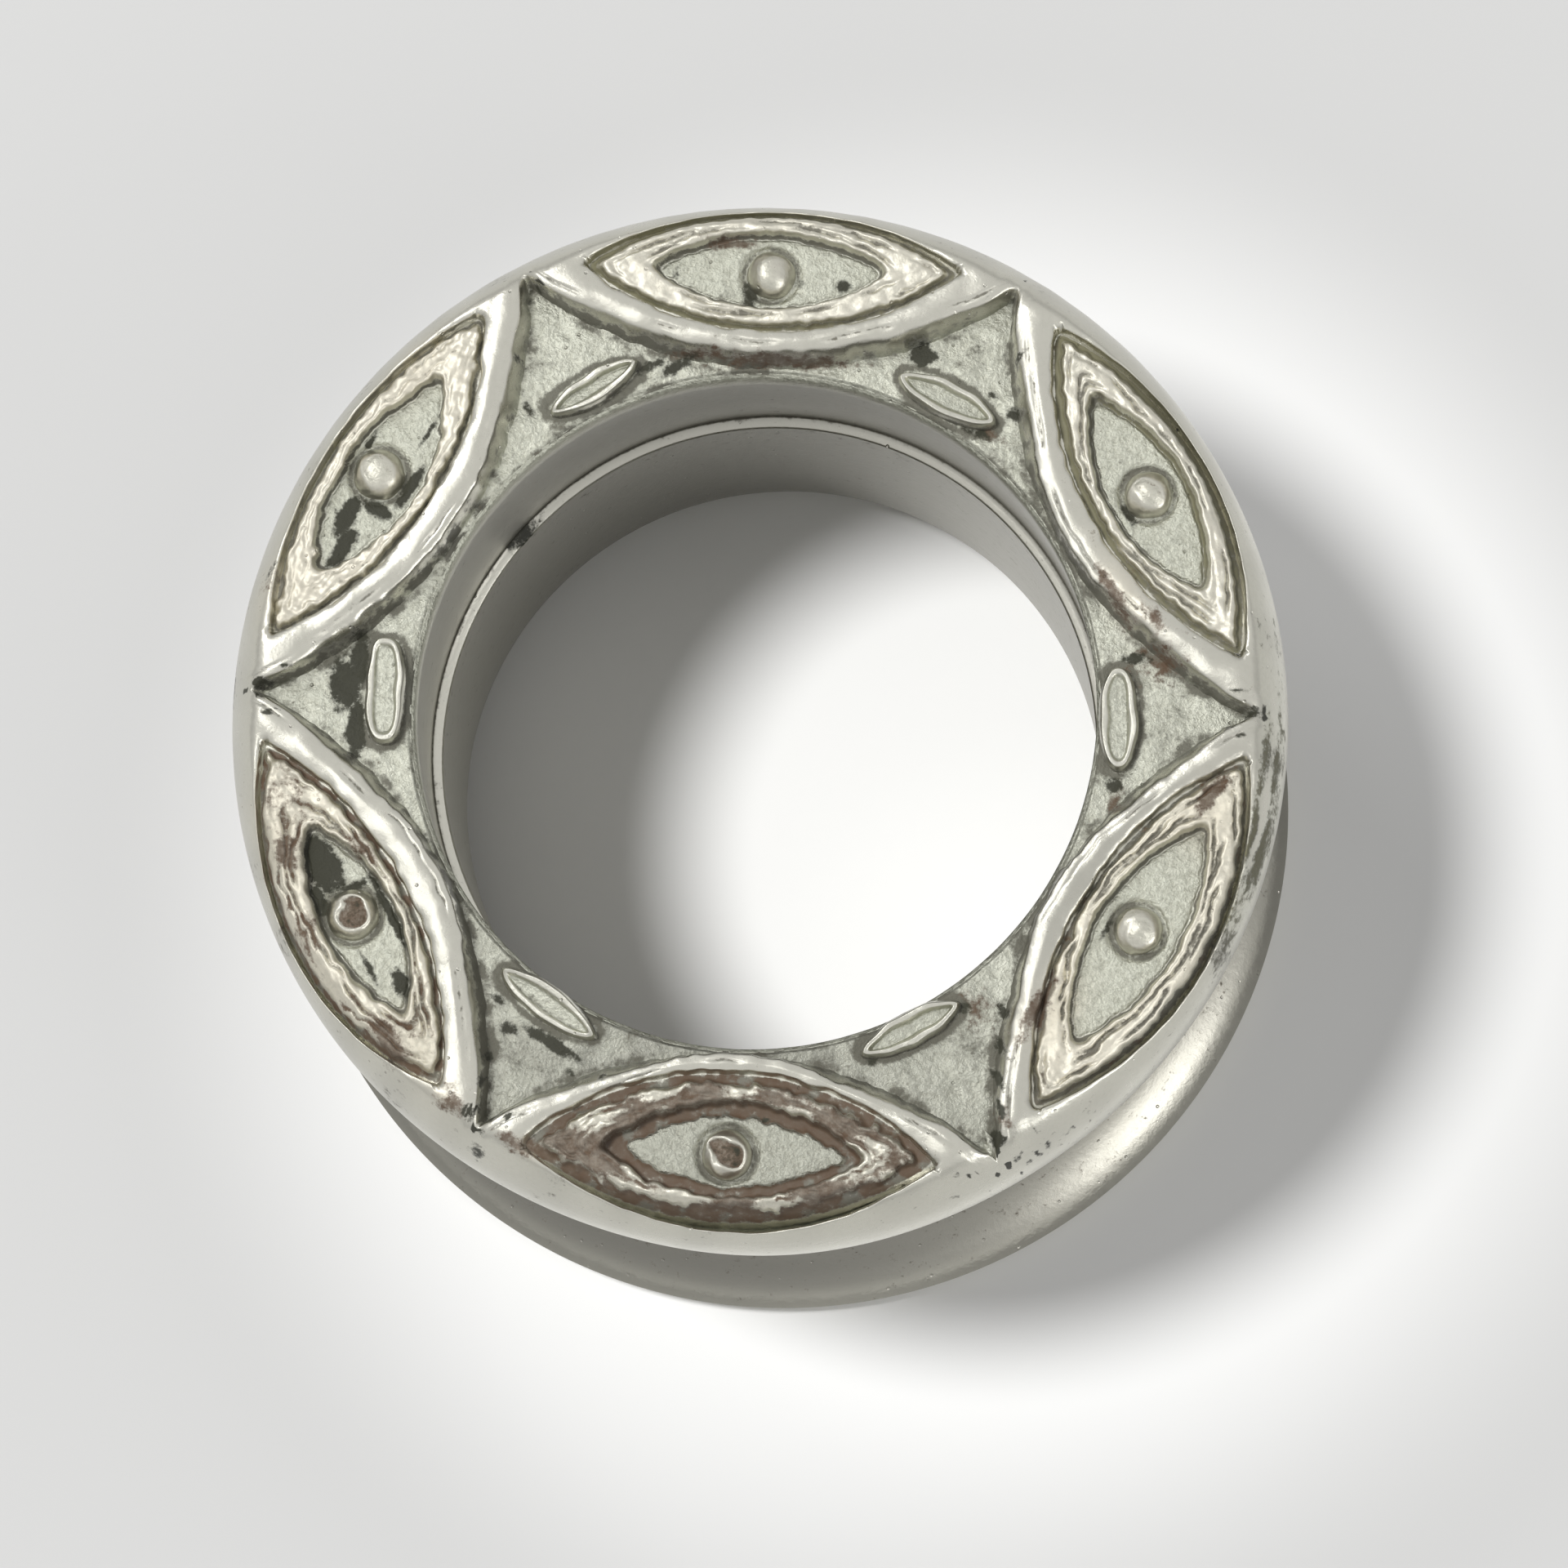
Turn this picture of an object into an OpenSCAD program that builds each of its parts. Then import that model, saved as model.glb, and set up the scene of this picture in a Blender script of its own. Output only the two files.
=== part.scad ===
/* [Body] */
// Diameter over the decorated front flange
front_d = 16; // [15.8:0.1:16.4]
// Diameter over the plain back flare
back_d = 16.4; // [16.2:0.1:17]
// Diameter of the hole through the tunnel
bore_d = 10.3; // [9.9:0.1:10.3]
// Diameter of the waist that sits in the ear lobe
neck_d = 12.8; // [12.2:0.1:14]
// Length from the back flare to the top of the relief
length = 9.4; // [8.5:0.1:12]
// Distance of the front flange's widest line below the relief's top
rim_drop = 1.6; // [1.4:0.1:1.9]
// Radius of the front flange's shoulder above its widest line
shoulder_r = 2.8; // [2.6:0.1:3.2]
// Radius of the rounded mouth at the back of the hole
mouth_r = 1.3; // [0.6:0.1:2]

/* [Edges] */
// Radius that rounds each flange's edge on the lobe side
edge_r = 0.3; // [0.25:0.05:0.35]
// Height of the lip between a flange's widest line and the waist's curve
lip_h = 0.24; // [0.2:0.02:0.26]
// Width of that lip on the front flange
lip_w = 0.15; // [0.1:0.01:0.2]

/* [Eyes] */
// Number of eyes round the face
eye_count = 6; // [6]
// Depth of the floors below the relief's top
floor_drop = 0.5; // [0.3:0.05:0.6]
// Radius of the circle that the beads stand on
eye_r = 6.75; // [6.7:0.05:6.8]
// Distance of each eye's outer band from the edge of the hole
band_gap = 0.1; // [0.05:0.05:0.15]
// Radius at which neighbouring bands meet
tip_r = 7.7; // [7.65:0.05:7.75]
// Inner radius of the plain rim that closes the tips
rim_inner_r = 7.5; // [7.45:0.05:7.55]
// Half length of an eye's sunken field
field_half = 3.15; // [3:0.05:3.3]
// Rise of the field from its centre line towards the hole
field_in = 1.08; // [1.04:0.02:1.2]
// Rise of the field from its centre line towards the rim
field_out = 1; // [0.96:0.02:1.04]

/* [Ridges and beads] */
// Half length of the ridge that stands in the field
ridge_half = 2.85; // [2.7:0.05:2.95]
// Rise of the ridge's outline towards the hole
ridge_in = 0.9; // [0.86:0.02:0.94]
// Rise of the ridge's outline towards the rim
ridge_out = 0.84; // [0.8:0.02:0.88]
// Half length of the opening inside the ridge
pupil_half = 1.98; // [1.8:0.02:2.1]
// Rise of that opening to both sides
pupil_rise = 0.63; // [0.58:0.01:0.66]
// Depth of the ridge's top below the relief's top
ridge_drop = 0.14; // [0.1:0.02:0.2]
// Diameter of the bead in each eye
bead_d = 0.7; // [0.66:0.02:0.8]
// Height of a bead's centre above the floor
bead_lift = 0.08; // [0:0.02:0.14]

/* [Leaves] */
// Radius at which each small leaf lies between two eyes
leaf_r = 5.6; // [5.55:0.05:5.7]
// Half length of a leaf
leaf_half = 0.8; // [0.7:0.05:0.9]
// Rise of a leaf to both sides of its centre line
leaf_rise = 0.28; // [0.24:0.02:0.34]
// Height of a leaf above the floor
leaf_h = 0.3; // [0.26:0.02:0.4]
// Radius of the ball surface that rounds a leaf's top
leaf_round_r = 1.5; // [1.4:0.1:2]

/* [Hidden] */
$fn = 96;

eps = 0.01;
bore_r = bore_d / 2;
widest_z = length - rim_drop;
floor_z = length - floor_drop;
eye_step = 360 / eye_count;

// The waist is one arc between the lips of the two flanges
waist_end_r = front_d / 2 - lip_w;
waist_low = edge_r + lip_h;
waist_high = widest_z - lip_h;
waist_mid = (waist_low + waist_high) / 2;
waist_r = arc_radius((waist_high - waist_low) / 2, waist_end_r - neck_d / 2);

// Radius of an arc with a given half chord and rise
function arc_radius(half, rise) = (half * half + rise * rise) / (2 * rise);

// Half section of the flange above its widest line
module shoulder_section() {
    intersection() {
        union() {
            translate([front_d / 2 - shoulder_r, widest_z]) circle(shoulder_r);
            square([front_d / 2 - shoulder_r, length]);
        }
        translate([0, widest_z]) square([front_d / 2, rim_drop]);
    }
}

// Half section of the metal before the waist, the hole and its mouth are cut
module blank_section() {
    square([waist_end_r, widest_z]);
    square([back_d / 2 - edge_r, 2 * edge_r]);
    translate([back_d / 2 - edge_r, edge_r]) circle(edge_r);
    translate([front_d / 2 - edge_r, widest_z]) circle(edge_r);
    shoulder_section();
}

module mouth_section() {
    difference() {
        translate([bore_r - eps, -eps]) square([mouth_r + eps, mouth_r + eps]);
        translate([bore_r + mouth_r, mouth_r]) circle(mouth_r);
    }
}

module body_section() {
    difference() {
        blank_section();
        translate([neck_d / 2 + waist_r, waist_mid]) circle(waist_r);
        translate([-eps, -eps]) square([bore_r + eps, length + 2 * eps]);
        mouth_section();
    }
}

// Everything under the face when the face is lowered by a given depth
module under_face(depth) {
    translate([0, 0, -depth]) rotate_extrude() shoulder_section();
}

module at_eyes() {
    for (i = [0 : eye_count - 1]) rotate(eye_step * i) children();
}

// Almond outline of two arcs that meet on the eye's centre line
module almond(half, rise_in, rise_out) {
    r_in = arc_radius(half, rise_in);
    r_out = arc_radius(half, rise_out);
    intersection() {
        translate([0, r_in - rise_in]) circle(r_in);
        translate([0, rise_out - r_out]) circle(r_out);
    }
}

// Disc whose edge is the side of an eye's outer band towards the hole
module band_disc() {
    low = bore_r + band_gap;
    r = arc_radius(tip_r * sin(eye_step / 2), tip_r * cos(eye_step / 2) - low);
    translate([0, low + r]) circle(r);
}

// The three-sided recesses between the bands and the hole
module recess_plan() {
    difference() {
        circle(rim_inner_r);
        at_eyes() band_disc();
    }
}

module field_plan() {
    at_eyes() translate([0, eye_r]) almond(field_half, field_in, field_out);
}

// Space above the sunken floors, which is cut out of the plain face
module sunken_space() {
    difference() {
        translate([0, 0, widest_z]) linear_extrude(rim_drop + eps) {
            recess_plan();
            field_plan();
        }
        under_face(floor_drop);
    }
}

module eye_ridge() {
    intersection() {
        translate([0, eye_r, widest_z]) linear_extrude(rim_drop) difference() {
            almond(ridge_half, ridge_in, ridge_out);
            almond(pupil_half, pupil_rise, pupil_rise);
        }
        under_face(ridge_drop);
    }
}

module bead() {
    translate([0, eye_r, floor_z + bead_lift]) sphere(d = bead_d);
}

module leaf() {
    translate([0, leaf_r, floor_z]) intersection() {
        translate([0, 0, -leaf_h]) linear_extrude(2 * leaf_h) almond(leaf_half, leaf_rise, leaf_rise);
        translate([0, 0, leaf_h - leaf_round_r]) sphere(leaf_round_r);
    }
}

module tunnel() {
    color("silver") {
        difference() {
            rotate_extrude() body_section();
            sunken_space();
        }
        at_eyes() {
            eye_ridge();
            bead();
            rotate(eye_step / 2) leaf();
        }
    }
}

tunnel();
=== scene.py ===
import math

import bpy
import numpy as np
from mathutils import Matrix, Vector


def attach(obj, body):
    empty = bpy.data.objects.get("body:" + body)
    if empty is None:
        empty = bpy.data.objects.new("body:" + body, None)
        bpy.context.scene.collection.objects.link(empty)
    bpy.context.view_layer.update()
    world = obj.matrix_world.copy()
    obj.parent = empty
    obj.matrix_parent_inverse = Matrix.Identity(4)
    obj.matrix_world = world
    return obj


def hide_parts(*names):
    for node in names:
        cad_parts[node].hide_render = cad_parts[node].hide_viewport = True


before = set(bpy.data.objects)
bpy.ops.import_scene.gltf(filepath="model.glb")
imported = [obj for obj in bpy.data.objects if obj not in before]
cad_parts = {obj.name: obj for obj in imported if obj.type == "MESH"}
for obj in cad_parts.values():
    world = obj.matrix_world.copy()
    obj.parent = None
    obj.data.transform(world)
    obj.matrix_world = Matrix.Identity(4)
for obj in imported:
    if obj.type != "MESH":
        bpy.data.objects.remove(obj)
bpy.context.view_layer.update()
print("frame loaded:", sorted(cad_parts))

millimetre = 0.001  # every shape below is worked out in millimetres
turn = 2 * math.pi


# shader helpers

class Wire:
    # a node's output socket: + - * on it add Math nodes
    def __init__(self, paint, socket):
        self.paint, self.socket = paint, socket

    def __add__(self, other):
        return self.paint.maths("ADD", self, other)

    def __sub__(self, other):
        return self.paint.maths("SUBTRACT", self, other)

    def __rsub__(self, other):
        return self.paint.maths("SUBTRACT", other, self)

    def __mul__(self, other):
        return self.paint.maths("MULTIPLY", self, other)

    __radd__ = __add__
    __rmul__ = __mul__


class Paint:
    # the nodes of one material or world
    def __init__(self, owner):
        owner.use_nodes = True
        self.tree = owner.node_tree
        self.tree.nodes.clear()

    def node(self, kind, settings=(), output=0, **sockets):
        # settings are set first, then the sockets' values or links: i and a number means the socket of that
        # number, and spaces in socket names are written as _
        made = self.tree.nodes.new(kind)
        for key, value in dict(settings).items():
            if key == "stops":
                stops = made.color_ramp.elements
                for spot, _ in value[2:]:
                    stops.new(spot)
                for stop, (spot, level) in zip(stops, value):
                    stop.position, stop.color = spot, (level, level, level, 1)
            else:
                setattr(made, key, value)
        for key, value in sockets.items():
            socket = made.inputs[int(key[1:])] if key[1:].isdigit() else made.inputs[key.replace("_", " ")]
            if isinstance(value, Wire):
                self.tree.links.new(value.socket, socket)
            else:
                socket.default_value = value
        return Wire(self, made.outputs[output]) if made.outputs else made

    def maths(self, operation, first, second):
        return self.node("ShaderNodeMath", {"operation": operation}, i0=first, i1=second)

    def between(self, value, low, high):
        # 0 to 1 as value goes from low to high, with soft ends
        return self.node("ShaderNodeMapRange", {"interpolation_type": "SMOOTHSTEP"},
                         Value=value, From_Min=low, From_Max=high)

    def blend(self, share, first, second):
        # one colour turning into another
        return self.node("ShaderNodeMix", {"data_type": "RGBA"}, output=2, i0=share, i6=first, i7=second)

    def noise(self, place, scale, detail, roughness):
        return self.node("ShaderNodeTexNoise", Vector=place, Scale=scale, Detail=detail, Roughness=roughness)

    def mark(self, name):
        # a number stored on the piece's own vertices
        return self.node("ShaderNodeAttribute", {"attribute_name": name}, output=2)

    def place(self):
        # object coordinates in millimetres
        spot = self.node("ShaderNodeTexCoord", output=3)
        return self.node("ShaderNodeMapping", Vector=spot, Scale=[1 / millimetre] * 3)


# the metal

# what is stored on every piece's vertices, each about 0 to 1: how much of each finish, and of painted shade,
# lies there
markNames = ("grain", "shade", "black", "warm", "green", "beige", "satin", "film")

metalLook = {
    "silver": (0.67, 0.655, 0.58, 1),      # polished plate
    "grainy": (0.64, 0.65, 0.56, 1),       # matt plate on the sunken floors
    "speck": (0.42, 0.42, 0.35, 1),        # darker grains among it
    "satin": (0.385, 0.375, 0.335, 1),     # dull plate on the shoulder, and painted shade inside the hole and on the waist
    "film": (0.14, 0.136, 0.122, 1),       # an even dark grey: painted shade on the waist and the hole's far wall, and a darker tone on some floors and bands
    "shadow": (0.080, 0.075, 0.055, 1),    # painted shade and dirt along the foot of every wall, in the grooves and under small parts
    "oxide": (0.034, 0.034, 0.023, 1),     # black in the recesses
    "brown": (0.085, 0.053, 0.032, 1),     # tarnish in the grooves
    "olive": (0.145, 0.137, 0.080, 1),     # thin yellow-green tarnish
    "beige": (0.75, 0.71, 0.60, 1),        # light tarnish on the ridges
    "polish": 0.27,                        # roughness of the high parts
    "grainRoughness": 0.22,                # added on the floors
    "fineScale": 12.0,                     # spots of the fine noise in a millimetre
    "patchScale": 4.5,                     # and of the coarse one
    "grainHeight": 0.025,                  # mm
    "pitScale": 3.1,
    "pitSize": (0.03, 0.10),               # a pit's floor and its edge, as shares of the pits' spacing
    "pitHeight": 0.014,                    # mm
}


def makeMetal():
    # silver, then duller and darker finishes and painted shade over it: each mark plus noise goes through a
    # soft threshold, which gives its patches ragged edges
    metalMaterial = bpy.data.materials.new("silverPlate")
    paint = Paint(metalMaterial)
    place = paint.place()
    fine = paint.noise(place, metalLook["fineScale"], 3.0, 0.6)
    patchy = paint.noise(place, metalLook["patchScale"], 4.0, 0.72)
    grain, shade, black, warm, green, beige, satin, film = (paint.mark(name) for name in markNames)
    ragged = (patchy - 0.5) + (fine - 0.5) * 0.5
    oxide = paint.between(black + ragged * 1.2, 0.36, 0.72)
    rust = paint.between(warm + ragged * 1.5, 0.25, 0.75)
    moss = paint.between(green + ragged * 1.5, 0.25, 0.75)
    # painted shade and dirt, from the shade mark
    shadeAndDirt = paint.between(shade + ragged * 1.7, 0.30, 0.85)
    speck = (1 - paint.between(fine, 0.30, 0.62)) * (grain * 0.8 + 0.05)
    colour = paint.blend(grain, metalLook["silver"], metalLook["grainy"])
    colour = paint.blend(grain * (0.9 - patchy) * 0.9, colour, metalLook["speck"])
    colour = paint.blend(beige * (0.5 + patchy), colour, metalLook["beige"])
    colour = paint.blend(speck, colour, metalLook["speck"])
    colour = paint.blend(satin, colour, metalLook["satin"])
    colour = paint.blend(film, colour, metalLook["film"])
    colour = paint.blend(shadeAndDirt * 0.85, colour, metalLook["shadow"])
    colour = paint.blend(moss * 0.85, colour, metalLook["olive"])
    colour = paint.blend(rust * (patchy * 0.7 + 0.5), colour, metalLook["brown"])
    colour = paint.blend(oxide, colour, metalLook["oxide"])
    roughness = metalLook["polish"] + grain * metalLook["grainRoughness"] + satin * 0.10 + beige * 0.18 \
        + (oxide + shadeAndDirt + moss + rust) * 0.15 + (patchy - 0.5) * 0.10
    pits = paint.node("ShaderNodeTexVoronoi", Vector=place, Scale=metalLook["pitScale"], Randomness=1.0)
    pit = 1 - paint.between(pits, *metalLook["pitSize"])
    height = (fine - 0.5) * (grain + 0.04) * (metalLook["grainHeight"] * millimetre) \
        - pit * (metalLook["pitHeight"] * millimetre) \
        + (patchy - 0.5) * (grain * 0.018 + 0.006) * millimetre
    normal = paint.node("ShaderNodeBump", Height=height, Strength=1.0, Distance=1.0)
    metal = paint.node("ShaderNodeBsdfPrincipled", Base_Color=colour, Roughness=roughness,
                       Metallic=1 - (oxide + (shadeAndDirt + moss + rust) * 0.7) * 0.8, Normal=normal)
    paint.node("ShaderNodeOutputMaterial", Surface=metal)
    return metalMaterial


silverPlate = makeMetal()
print("metal made")


# small helpers for shapes

def smoothStep(low, high, x):
    # an S curve from 0 at low to 1 at high
    t = np.clip((x - low) / (high - low), 0, 1)
    return t * t * (3 - 2 * t)


def mound(x, centre, width):
    # a bell curve: 1 at the centre and about a third at one width from it
    return np.exp(-((x - centre) / width) ** 2)


def angleFrom(angle, centre):
    # signed difference of two angles, in radians, from minus half a turn to half a turn
    return (angle - centre + math.pi) % turn - math.pi


def lumps(x, y, size, seed, waves=14):
    # uneven surface: a sum of plane waves in random directions, about `size` mm long, roughly -1 to 1
    dice = np.random.RandomState(seed)
    total = np.zeros(np.broadcast(x, y).shape)
    for heading, stretch, phase in zip(*dice.uniform(0, 1, (3, waves))):
        k = turn / (size * (0.7 + 1.1 * stretch))
        total += np.sin(k * (x * math.cos(turn * heading) + y * math.sin(turn * heading)) + turn * phase)
    return total / math.sqrt(waves)


def arcRadius(half, rise):
    # radius of an arc from its half chord and its rise
    return (half * half + rise * rise) / (2 * rise)


def almondDepth(along, across, half, riseIn, riseOut, soft=0.05):
    # distance inside an almond of two arcs, positive inside: the smaller of the distances to both circles,
    # taken softly so that the almond's ends are a little rounded
    inner, outer = arcRadius(half, riseIn), arcRadius(half, riseOut)
    toInner = inner - np.hypot(along, across - inner + riseIn)
    toOuter = outer - np.hypot(along, across + outer - riseOut)
    return -soft * np.logaddexp(-toInner / soft, -toOuter / soft)


def meshFromLoops(name, loops, closed, marks):
    # loops is rings x points x 3: quads join each closed ring to the next, and the ends are joined or capped;
    # the sign of the volume inside tells which way round the faces point outwards
    rings, around, _ = loops.shape
    i = np.arange(rings if closed else rings - 1)[:, None]
    j = np.arange(around)[None, :]
    here, there, beside = i * around, (i + 1) % rings * around, (j + 1) % around
    quads = np.stack([here + j, here + beside, there + beside, there + j], -1).reshape(-1, 4)
    flat = loops.reshape(-1, 3)
    a, b, c, d = (flat[quads[:, k]] for k in range(4))
    volume = np.einsum("ij,ij->i", a, np.cross(b, c)).sum() + np.einsum("ij,ij->i", a, np.cross(c, d)).sum()
    faces = (quads if volume > 0 else quads[:, ::-1]).tolist()
    if not closed:
        caps = [list(range(around))[::-1], list(range((rings - 1) * around, rings * around))]
        faces += caps if volume > 0 else [cap[::-1] for cap in caps]
    mesh = bpy.data.meshes.new(name)
    mesh.from_pydata((flat * millimetre).tolist(), [], faces)
    mesh.shade_smooth()
    for mark in markNames:
        layer = mesh.attributes.new(mark, "FLOAT", "POINT")
        values = marks.get(mark, np.zeros(len(flat)))
        layer.data.foreach_set("value", values.ravel().astype(np.float32))
    piece = bpy.data.objects.new(name, mesh)
    bpy.context.scene.collection.objects.link(piece)
    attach(piece, "root")
    mesh.materials.append(silverPlate)
    return piece


def makePlate(name, x, y, surface, bottom, closed, marks):
    # a plate with a carved top, given as columns of points: two corners under each column's ends, at the
    # height of the bottom, make it a ring
    low = np.full((len(x), 2), bottom)
    points = ((x, x[:, [-1, 0]]), (y, y[:, [-1, 0]]), (surface, low))
    loops = np.stack([np.concatenate(pair, 1) for pair in points], -1)
    marks = {mark: np.concatenate([values, 0 * low], 1) for mark, values in marks.items()}
    return meshFromLoops(name, loops, closed, marks)


# the sizes of the ring and its relief, in millimetres and degrees

body = {
    "boreRadius": 5.15,
    "frontTop": 9.4,
    "floorDrop": 0.5,
    "mouthTop": 1.3,                 # height at which the hole's straight wall begins
    "flatEnds": 7.46,                # radius at which the flat face meets the shoulder
    "columns": 740,
    "sectionStep": 0.01,             # between the points of the section
    "creaseSoftness": 0.13,          # rounds the section's creases
    "seamHeight": 5.5,               # the joint ring inside the hole, which is a little tilted
    "seamTilt": 0.40, "seamTowards": 45,
    "seamStep": 0.13, "seamHalf": 0.06,
    "spread": 0.03,                  # the flange is wider than its plain section by this all round
    "bulge": 0.10, "dent": 0.03,     # and wider or narrower than that in one place each
}

# places round the ring: angle in degrees, and how far they reach to each side in radians
placesRound = {
    "bulge": (276, 0.35),
    "dent": (95, 0.5),
    "streaks": (349, 0.30),      # olive streaks on the shoulder
    "specks": (300, 0.12),       # black specks on the shoulder
    "bandFilm": (335, 0.45),     # more grey film on the bands
    "dullFloors": (266, 0.68),   # and on the recesses' floors
    "shine": (322, 0.5),         # less painted shade on the waist's outer flare, which catches the light
    # painted shade on the hole's far wall, and less painted shade at its left side
    "shadeInHole": (95, 0.7),
    "litInHole": (190, 0.6),
    "blackSeam": (140, 0.09),    # black on the joint ring
}

# the section's arcs: centre (radius, height), radius, first and last angle, and number of points
sectionArcs = {
    "shoulder": ((5.2, 7.8), 2.8, 34.85, 0, 60),
    "frontEdge": ((7.7, 7.8), 0.3, 0, -57, 16),
    "waist": ((11.373, 4.05), 4.973, 135.1, 223.9, 120),
    "backEdge": ((7.9, 0.3), 0.3, 90, -90, 30),
    "mouth": ((6.45, 1.3), 1.3, 270, 180, 30),
}

relief = {
    "eyeRadius": 6.75,      # circle on which the beads stand
    "bandLow": 5.25,        # nearest point of each band to the axis
    "bandTip": 7.50,        # where neighbouring bands meet
    "recessEnds": (7.38, 7.64),  # the recesses' floors rise to the face between these radii
    "wallEnds": 7.75,       # a recess's wall is followed no further out than this
    "rowEnds": 7.66,        # and the rows gathered beside it reach no further than this
    "flank": 0.22,          # width of a band's sloping side towards the hole
    "crown": 0.062,         # how far a band's edges lie below its middle
    "crownWidth": 0.30,     # width of the strip at each edge in which it falls
}

# each eye, in millimetres and degrees:
# field and pupil: half length, and rises towards hole and rim; shift moves the pupil along the eye
# grooves: widths of the outer and the inner one; lines: strength of the ridge's fine lines
# rough: strength of the ridge's waves and creases
# flank: dark dirt and painted shade on the band's clockwise and anticlockwise side, and that side's width at
# the middle
# warm and green: brown and olive tarnish in the outer and the inner groove
# beige, wash and grain: light tarnish, brown tarnish and grain on the ridge; film: darker grey on the floor
# bead: its place along and across, and its radius; dimple: depth, and dirt and painted shade, of the hollow
# on top of it
eyes = [
    {"name": "Top", "angle": 89.6, "seed": 1, "field": (2.86, 0.96, 0.92),
     "pupil": (1.66, 0.52, 0.48), "shift": 0.04, "grooves": (0.02, 0.02), "lines": 1.0, "rough": 0.7,
     "flank": (0.35, 1.0, 0.22), "warm": (0.15, 0.10), "green": (0.85, 0.15), "beige": 0.60, "wash": 0.0,
     "grain": 0.1, "film": 0.0, "bead": (0.02, -0.06, 0.37), "dimple": 0.0},
    {"name": "UpperLeft", "angle": 149.4, "seed": 2, "field": (2.92, 0.90, 0.82),
     "pupil": (1.62, 0.58, 0.46), "shift": 0.02, "grooves": (0.00, 0.01), "lines": 0.5, "rough": 1.3,
     "flank": (0.35, 0.8, 0.13), "warm": (0.10, 0.05), "green": (0.15, 0.05), "beige": 0.95, "wash": 0.0,
     "grain": 0.0, "film": 0.0, "bead": (-0.02, 0.02, 0.40), "dimple": 0.2},
    {"name": "LowerLeft", "angle": 209.4, "seed": 3, "field": (2.94, 0.86, 1.04),
     "pupil": (1.50, 0.52, 0.46), "shift": 0.10, "grooves": (0.02, 0.03), "lines": 1.2, "rough": 1.2,
     "flank": (0.6, 1.0, 0.08), "warm": (0.75, 0.25), "green": (0.15, 0.05), "beige": 1.0, "wash": 0.42,
     "grain": 0.15, "film": 0.0, "bead": (-0.02, 0.02, 0.40), "dimple": 1.0},
    {"name": "Bottom", "angle": 268.9, "seed": 4, "field": (3.08, 1.18, 1.00),
     "pupil": (1.80, 0.66, 0.60), "shift": 0.05, "grooves": (0.10, 0.17), "lines": 0.8, "rough": 1.5,
     "flank": (0.5, 0.7, 0.06), "warm": (0.95, 1.15), "green": (0.0, 0.0), "beige": 0.55, "wash": 0.85,
     "grain": 0.15, "film": 0.27, "bead": (-0.02, 0.02, 0.39), "dimple": 1.2},
    {"name": "LowerRight", "angle": 330.6, "seed": 5, "field": (3.06, 0.98, 1.00),
     "pupil": (1.78, 0.60, 0.52), "shift": 0.00, "grooves": (0.01, 0.02), "lines": 1.5, "rough": 0.9,
     "flank": (0.9, 0.6, 0.07), "warm": (0.35, 0.15), "green": (0.30, 0.20), "beige": 0.90, "wash": 0.1,
     "grain": 0.1, "film": 0.0, "bead": (0.04, -0.06, 0.37), "dimple": 0.2},
    {"name": "UpperRight", "angle": 30.2, "seed": 6, "field": (2.88, 0.92, 0.93),
     "pupil": (1.58, 0.56, 0.52), "shift": 0.00, "grooves": (0.05, 0.03), "lines": 1.0, "rough": 0.8,
     "flank": (1.0, 0.7, 0.08), "warm": (0.12, 0.05), "green": (1.00, 0.75), "beige": 0.60, "wash": 0.0,
     "grain": 0.1, "film": 0.0, "bead": (0.00, 0.00, 0.37), "dimple": 0.2},
]

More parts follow.
